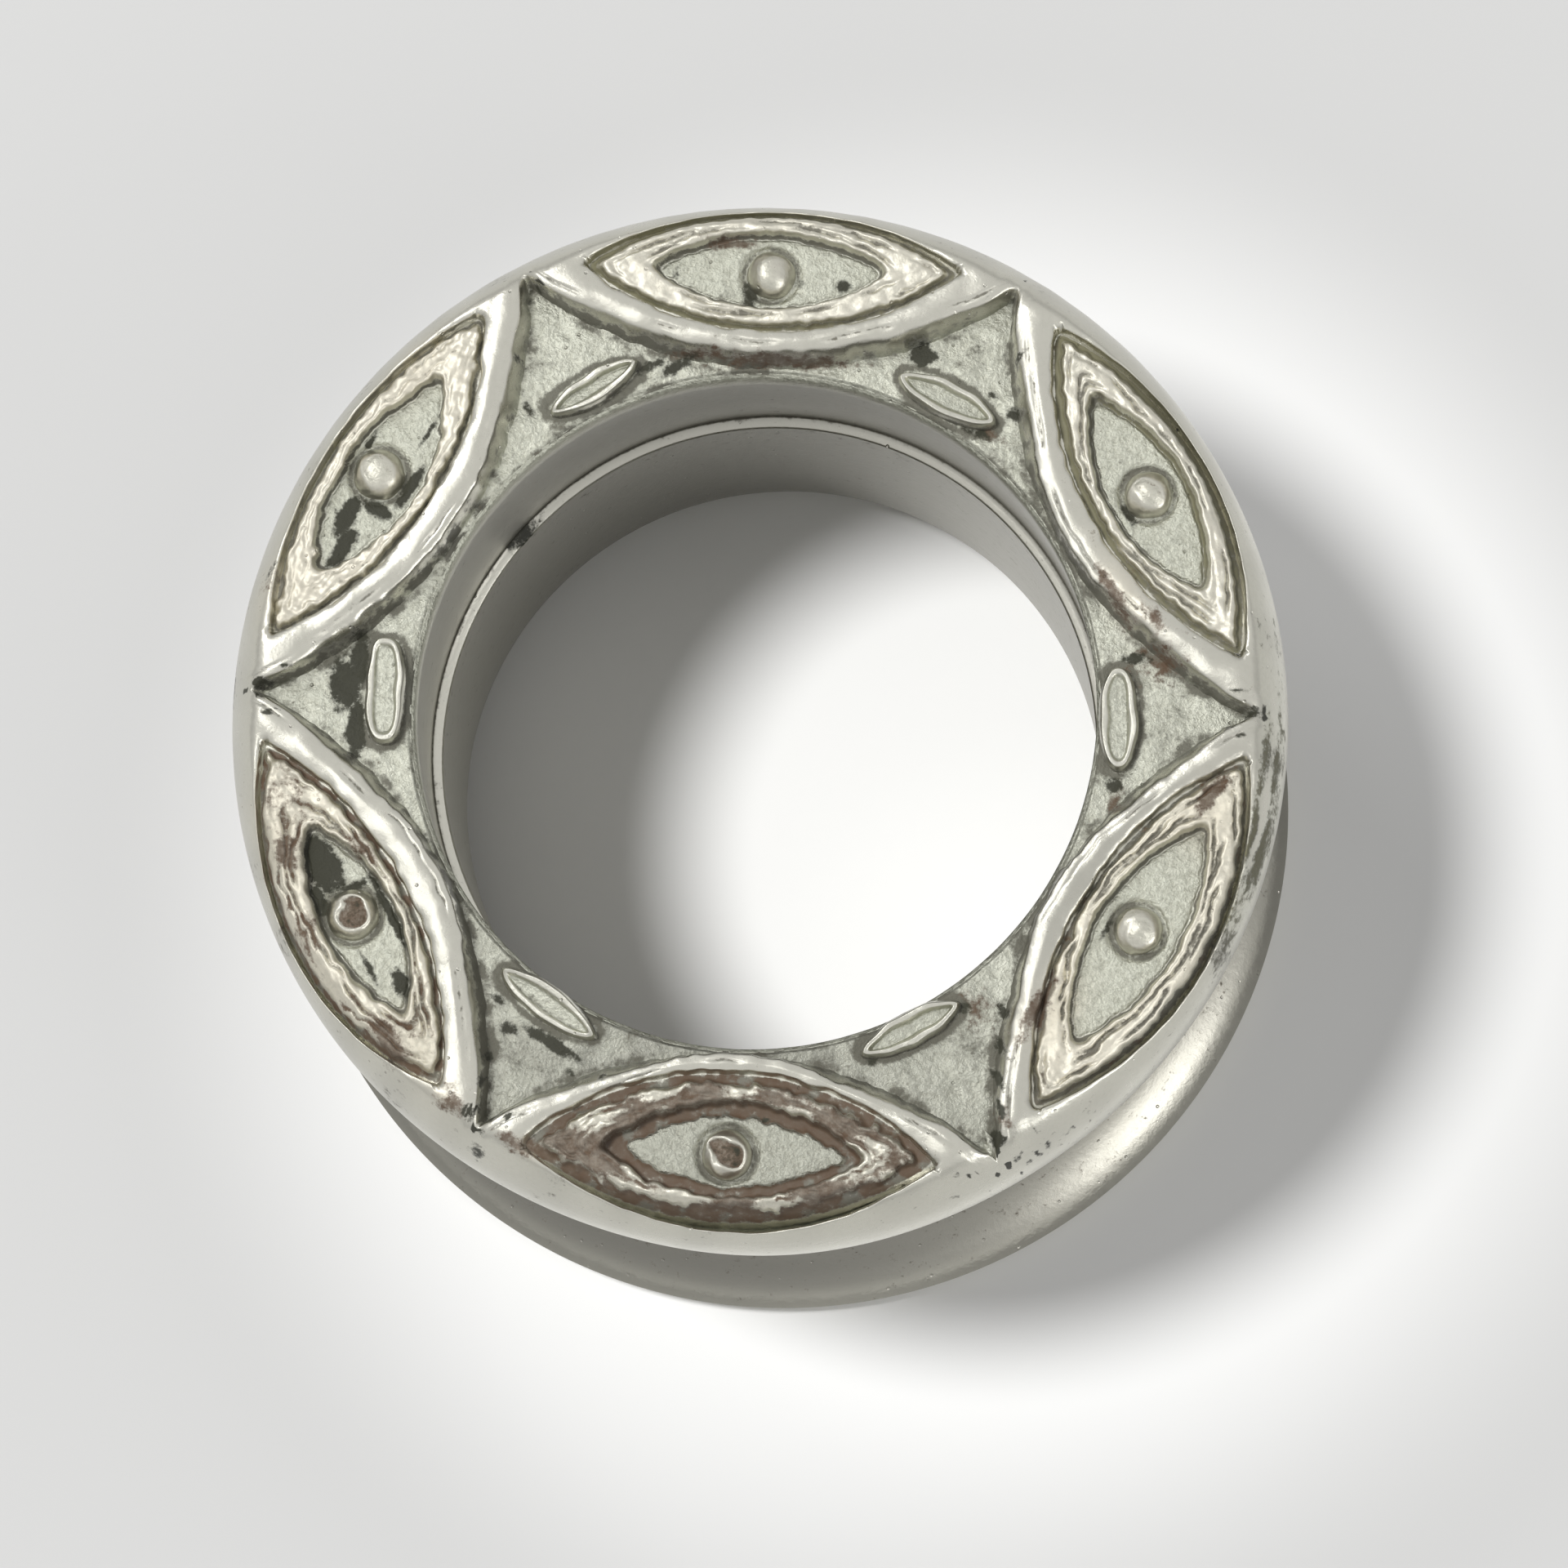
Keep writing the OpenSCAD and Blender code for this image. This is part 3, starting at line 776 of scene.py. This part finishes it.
def makeEye(eye):
    # an almond plate: rows run between its two arcs, and its top follows the face less the carving's depth
    e, seed = eyeField, eye["seed"]
    half, riseIn, riseOut = (size + e["spare"] for size in eye["field"])
    along = half * np.sin(np.linspace(-1, 1, e["columns"]) * math.pi / 2 * e["reach"])
    inner, outer = arcRadius(half, riseIn), arcRadius(half, riseOut)
    low = -np.sqrt(inner ** 2 - along ** 2) + inner - riseIn
    high = np.sqrt(outer ** 2 - along ** 2) - outer + riseOut
    across = low[:, None] + (high - low)[:, None] * np.linspace(0, 1, e["rows"])
    along = along[:, None] + 0 * across
    x, y = ringPlace(along, across + relief["eyeRadius"], eye["angle"])

    # distances into the field and the pupil give the outer groove, the ridge, the inner groove and the floor
    wobble = 0.016 * lumps(along, across, 0.6, 20 + seed) + 0.013 * lumps(along, across, 0.22, 35 + seed)
    wobble = eye["rough"] * wobble
    outside = almondDepth(along, across, *eye["field"])
    pupilHalf, pupilIn, pupilOut = eye["pupil"]
    pupilHalf, pupilIn, pupilOut = pupilHalf + 0.16, pupilIn + 0.08, pupilOut + 0.08
    pupil = almondDepth(along - eye["shift"], across, pupilHalf, pupilIn, pupilOut) + wobble
    outerWidth, innerWidth = eye["grooves"]
    ridge = outside - outerWidth - 0.05 + 1.2 * wobble
    up = smoothStep(-0.05, 0.05, ridge)
    down = smoothStep(-0.04, 0.05, pupil)
    floor = smoothStep(innerWidth - 0.02, innerWidth + 0.06, pupil)
    depth = e["grooveDrop"] + (e["ridgeDrop"] - e["grooveDrop"]) * up
    depth = depth + (e["innerDrop"] - e["ridgeDrop"]) * down + (e["floorDrop"] - e["innerDrop"]) * floor
    onRidge = up * (1 - down)
    width = np.minimum(ridge, -pupil)
    depth = depth + e["ridgeCrown"] * (1 - np.clip(width / e["crownWidth"], 0, 1)) ** 2 * onRidge

    # three fine lines run along the ridge, drifting and broken, and it is creased, more so near its tips
    broken = [smoothStep(-0.9, 0.3, lumps(along, across, 1.2, 40 + 10 * k + seed)) for k in range(3)]
    drift = [0.035 * lumps(along, across, 1.3, 100 + 10 * k + seed) for k in range(3)]
    line = np.max([mound(ridge + drift[0], 0.13, e["lineHalf"]) * broken[0],
                   mound(ridge + drift[1], 0.28, e["lineHalf"]) * broken[1],
                   mound(pupil + drift[2], -0.12, e["lineHalf"]) * broken[2]], 0)
    nearTip = smoothStep(0.66, 0.86, np.abs(along) / half)
    line = line * onRidge * eye["lines"] * smoothStep(0.05, 0.10, -pupil) * (1 - 0.6 * nearTip)
    depth = depth + e["lineDepth"] * line
    crumple = 0.010 * lumps(along, across, 0.34, 60 + seed) + 0.004 * lumps(along, across, 0.13, 70 + seed)
    depth = depth + eye["rough"] * onRidge * crumple * (1 + 0.8 * nearTip)
    beadAlong, beadAcross, beadRadius = eye["bead"]
    moat = mound(np.hypot(along - beadAlong, across - beadAcross), beadRadius + 0.04, 0.05)
    depth = depth + 0.05 * moat
    surface = faceHeight(np.hypot(x, y)) - depth

    outerGroove = (1 - smoothStep(0.25, 0.8, up)) * smoothStep(-0.02, 0.03, outside)
    innerGroove = smoothStep(0.15, 0.6, down) * (1 - smoothStep(0.3, 0.8, floor))
    rimSide = smoothStep(-0.2, 0.5, across)
    anticlockwise = smoothStep(-2.0, 1.5, along)
    streaky = 0.85 + 0.35 * lumps(along, across, 0.35, 140 + seed)
    wash = onRidge * (0.5 + 0.7 * lumps(along, across, 0.9, 130 + seed)) + 0.9 * line
    marks = {
        "grain": 0.9 * floor + eye["grain"] * onRidge + 0.1,
        # painted shade and dirt in the grooves and in the moat round the bead
        "shade": 0.95 * outerGroove + 0.95 * innerGroove + 0.75 * moat + 0.8 * np.minimum(line, 1)
        + (0.08 + 0.20 * lumps(x, y, 1.1, 16)) * floor,
        "black": spots(blackSpots, x, y) * smoothStep(0.1, 0.6, down),
        "warm": outerGroove * eye["warm"][0] * streaky + innerGroove * eye["warm"][1] * streaky
        + spots(brownSpots, x, y) + eye["wash"] * wash,
        "green": outerGroove * eye["green"][0] * (0.55 + 0.5 * anticlockwise)
        + innerGroove * eye["green"][1] * (0.4 + 0.8 * rimSide),
        "beige": onRidge * eye["beige"] + spots(beigeSpots, x, y),
        "film": eye["film"] * floor,
    }
    makePlate("eyeField" + eye["name"], x, y, surface, body["frontTop"] - e["bottomDrop"], False, marks)


for eye in eyes:
    makeEye(eye)
print("eye fields made")


# beads and leaves

bead = {"top": 9.375, "rings": 44, "around": 56, "poleGap": 0.02}  # the gap at its poles is in radians


def makeBead(eye):
    # a ball: rings of latitude from pole to pole, a little uneven, some with a dimple on top
    tilt = np.linspace(bead["poleGap"], math.pi - bead["poleGap"], bead["rings"])[:, None]
    spin = np.arange(bead["around"])[None, :] * turn / bead["around"]
    x, y, z = np.sin(tilt) * np.cos(spin), np.sin(tilt) * np.sin(spin), np.cos(tilt) + 0 * spin
    beadAlong, beadAcross, radius = eye["bead"]
    uneven = lumps(x + z, y - z, 1.1, 80 + eye["seed"])
    size = radius * (1 + 0.025 * np.clip(uneven, -1.5, 1.5))
    hollow = smoothStep(0.76, 0.93, z + 0.12 * uneven)
    centre = ringPlace(beadAlong, beadAcross + relief["eyeRadius"], eye["angle"])
    high = bead["top"] - 1.03 * radius + size * z - 0.10 * eye["dimple"] * hollow
    loops = np.stack([centre[0] + size * x, centre[1] + size * y, high], -1)
    foot = 1 - smoothStep(-0.1, 0.4, z)
    marks = {
        "grain": 0.12 + 0.25 * hollow,
        # painted shade at the bead's foot and in its hollow, with dirt in the hollow
        "shade": 0.8 * foot + 0.7 * eye["dimple"] * hollow,
        "black": 0.42 * eye["dimple"] * hollow,
        "warm": foot * eye["warm"][1] + hollow * eye["dimple"] * (eye["beige"] > 0.5),
        "beige": 0.25 + 0 * z,
    }
    meshFromLoops("bead" + eye["name"], loops, False, marks)


def makeLeaf(name, angle, radius, twist, hollow, leanOut, half, rise, power):
    # a blunt oval: rows run across it, and a rounded rim surrounds its lower middle
    along = half * np.sin(np.linspace(-1, 1, leaf["columns"]) * math.pi / 2 * leaf["reach"])
    width = rise * (1 - np.abs(along / half) ** power) ** (1 / power)
    side = np.sin(np.linspace(-1, 1, leaf["rows"]) * math.pi / 2)[None, :]
    across = width[:, None] * side
    along = along[:, None] + 0 * across
    uneven = lumps(along, across, 0.5, 90 + int(angle))
    inward = leafDepth(along, across, half, rise, power) + 0.012 * uneven
    high = leaf["height"] * smoothStep(-0.02, 0.06, inward) ** 0.6 - hollow * smoothStep(0.11, 0.19, inward)
    high = high - leanOut * (side + 1) / 2 + 0.006 * uneven
    t = math.radians(twist)
    along, across = along * math.cos(t) - across * math.sin(t), along * math.sin(t) + across * math.cos(t)
    x, y = ringPlace(along, across + radius, angle)
    floor = body["frontTop"] - body["floorDrop"]
    foot = 1 - smoothStep(0.0, 0.035, inward)
    inside = smoothStep(0.12, 0.19, inward)
    # painted shade on the outward, lower side of the hollow
    lowSide = leanOut / 0.12 * inside * smoothStep(0.0, 0.6, side)
    marks = {
        "grain": 0.15 + 0.80 * inside,
        # painted shade at the leaf's foot and in its hollow
        "shade": 0.8 * foot + 0.20 * inside + 0.6 * lowSide,
        "film": 0.05 * inside,
    }
    makePlate(name, x, y, floor - 0.03 + high, floor - leaf["bury"], False, marks)


for eye in eyes:
    makeBead(eye)
for number, sizes in enumerate(leaves):
    makeLeaf("leaf" + str(number + 1), *sizes)
print("beads and leaves made")


# floor, light and camera

stageLook = {
    "floor": (0.50, 0.50, 0.495, 1),
    "floorLitPool": (0.87, 0.87, 0.86, 1),   # painted pool of light: the backdrop is paler under the object
    "floorCentre": (2.5, -1.0, 0.0),        # mm
    "floorFade": (6.0, 14.0),               # mm from that centre
    "floorRadius": 1.2,                     # m
    "floorCorners": 64,
    "sky": ((0.0, 0.40), (0.3, 0.52), (0.5, 0.62), (0.75, 0.66), (0.9, 0.66), (1.0, 0.66)),
    "skyStrength": 1.22,
    "skyOnFloor": 0.60,   # share of it that lights matt things: less makes the shadows deeper
}

# each light: azimuth and elevation in degrees, distance and width in metres, watts,
# whether the metal mirrors it, and whether it lights matt things
lights = {
    "keyLight": (225, 50, 0.45, 0.14, 0.22, True, True),
    "sideLight": (60, 42, 0.50, 0.12, 0.09, True, True),
    "overheadLight": (262, 68, 0.60, 0.13, 2.85, False, True),
    "glintLight": (262, 68, 0.60, 0.13, 0.60, True, True),
    "flareLight": (58, 12, 0.45, 0.25, 0.40, True, False),
}

# angles in degrees, distances in metres, lens and sensor in millimetres
cameraLook = {
    "azimuth": 19.6, "elevation": 79.0, "distance": 0.1010, "lens": 150.0, "sensor": 36.0,
    "aim": (0.0003, -0.0006, 0.0060),
    "pictureTurn": -2.0,   # degrees: the photograph is turned by this much against the part's own axes
    "clip": (0.005, 5.0),
}


def directionOf(azimuth, elevation):
    # from the object towards a light or the camera: azimuth 0 is -Y and 90 is +X
    a, e = math.radians(azimuth), math.radians(elevation)
    return Vector((math.sin(a) * math.cos(e), -math.cos(a) * math.cos(e), math.sin(e)))


def makeFloor():
    # a round sheet, wide enough to fill every view
    corners = stageLook["floorCorners"]
    spin = np.arange(corners) * turn / corners
    rim = np.stack([np.cos(spin), np.sin(spin), 0 * spin], 1) * stageLook["floorRadius"]
    mesh = bpy.data.meshes.new("floor")
    mesh.from_pydata(rim.tolist(), [], [list(range(corners))])
    floor = bpy.data.objects.new("floor", mesh)
    bpy.context.scene.collection.objects.link(floor)
    mesh.materials.append(bpy.data.materials.new("paleFloor"))
    paint = Paint(mesh.materials[0])
    fromMiddle = paint.node("ShaderNodeVectorMath", {"operation": "DISTANCE"}, output=1, i0=paint.place(),
                            i1=stageLook["floorCentre"])
    # painted pool of light: the floor is paler round the object
    fade = paint.between(fromMiddle, *stageLook["floorFade"])
    colour = paint.blend(fade, stageLook["floorLitPool"], stageLook["floor"])
    surface = paint.node("ShaderNodeBsdfPrincipled", Base_Color=colour, Roughness=0.75)
    paint.node("ShaderNodeOutputMaterial", Surface=surface)


def makeLight(name, azimuth, elevation, distance, size, power, mirrored, onMatt):
    # a round soft light that faces the object
    lamp = bpy.data.lights.new(name, "AREA")
    lamp.shape, lamp.size, lamp.energy = "DISK", size, power
    holder = bpy.data.objects.new(name, lamp)
    holder.visible_camera = False
    holder.visible_glossy = mirrored
    holder.visible_diffuse = onMatt
    back = directionOf(azimuth, elevation)
    holder.location = back * distance + Vector((0, 0, 0.005))
    holder.rotation_mode = "QUATERNION"
    holder.rotation_quaternion = back.to_track_quat("Z", "Y")
    bpy.context.scene.collection.objects.link(holder)


def makeWorld():
    # a pale dome, whose brightness changes with the height above the floor
    world = bpy.data.worlds.new("studio")
    paint = Paint(world)
    direction = paint.node("ShaderNodeTexCoord")
    height = paint.node("ShaderNodeSeparateXYZ", output=2, Vector=direction)
    bright = paint.node("ShaderNodeValToRGB", {"stops": stageLook["sky"]}, Fac=height)
    onMatt = paint.node("ShaderNodeLightPath", output="Is Diffuse Ray")
    strength = (1 - onMatt * (1 - stageLook["skyOnFloor"])) * stageLook["skyStrength"]
    glow = paint.node("ShaderNodeBackground", Color=bright, Strength=strength)
    paint.node("ShaderNodeOutputWorld", Surface=glow)
    world.cycles.sampling_method = "NONE"   # otherwise the kind of ray isn't known everywhere
    bpy.context.scene.world = world


def makeCamera():
    # looks at the object from the photograph's side, and the picture's up is close to +Y
    back = directionOf(cameraLook["azimuth"], cameraLook["elevation"])
    lean = math.radians(cameraLook["pictureTurn"])
    up = Vector((math.sin(lean), math.cos(lean), 0))
    right = up.cross(back).normalized()
    up = back.cross(right)
    data = bpy.data.cameras.new("camera")
    data.lens, data.sensor_width = cameraLook["lens"], cameraLook["sensor"]
    data.clip_start, data.clip_end = cameraLook["clip"]
    camera = bpy.data.objects.new("camera", data)
    camera.matrix_world = Matrix((right, up, back)).transposed().to_4x4()
    camera.location = Vector(cameraLook["aim"]) + back * cameraLook["distance"]
    bpy.context.scene.collection.objects.link(camera)
    bpy.context.scene.camera = camera


makeFloor()
makeWorld()
for name, sizes in lights.items():
    makeLight(name, *sizes)
makeCamera()
bpy.context.scene.view_settings.view_transform = "Standard"
print("stage made")
